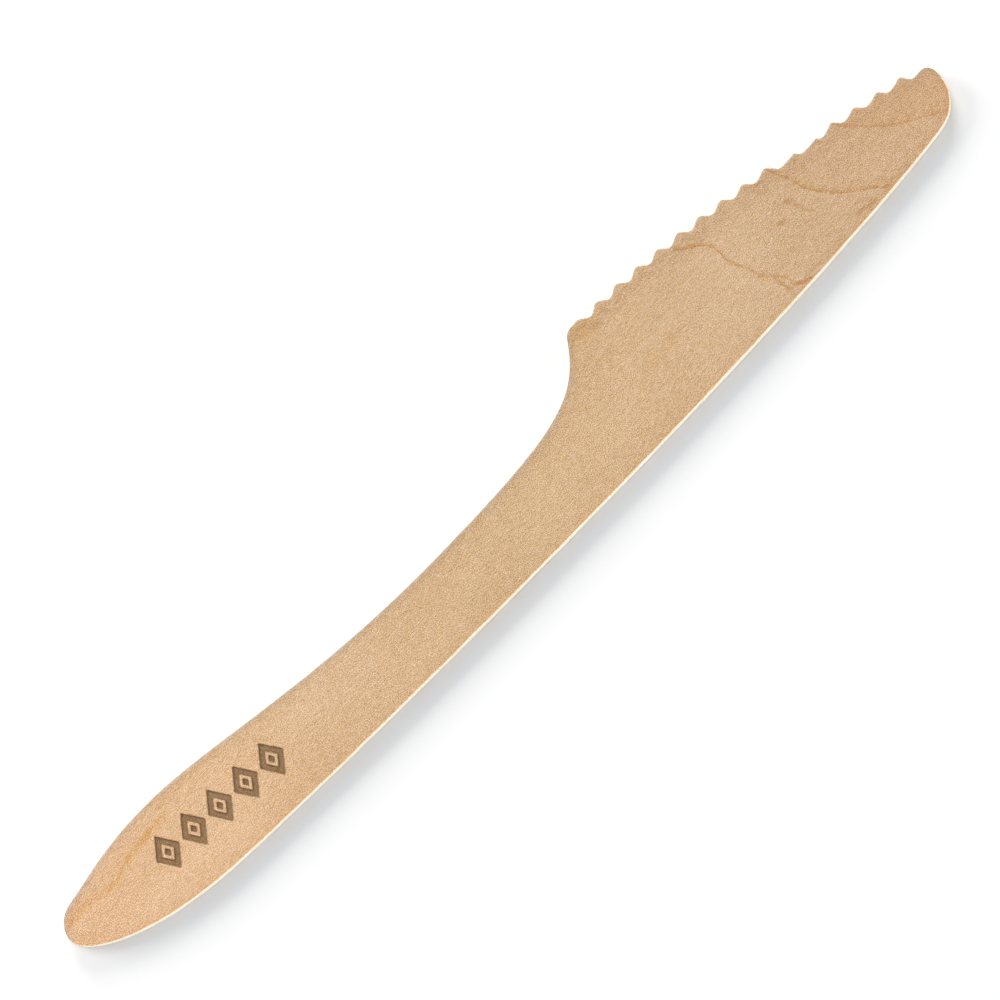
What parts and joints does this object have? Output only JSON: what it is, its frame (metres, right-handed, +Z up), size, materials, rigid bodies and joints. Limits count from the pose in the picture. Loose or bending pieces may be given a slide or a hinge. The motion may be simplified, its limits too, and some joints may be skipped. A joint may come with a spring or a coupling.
{
  "type": "disposable wooden knife",
  "caption": "Flat one-piece disposable table knife of pale wood veneer, with a rounded grip, a narrow neck, a finger notch and a blade with small wavy teeth.",
  "frame": {"origin": "on the underside, below the middle of the outline's box", "axes": "+X from the end of the handle to the tip of the blade, +Y towards the toothed edge, +Z up out of the face with the pressed mark"},
  "size_m": [0.16, 0.0196, 0.0018],
  "materials": {
    "wood": "bare, unvarnished birch veneer with fine fibres, pale stamped edges and a brown pressed mark on the grip"
  },
  "bodies": {
    "root": {"wooden_knife": "wood"}
  },
  "joints": []
}
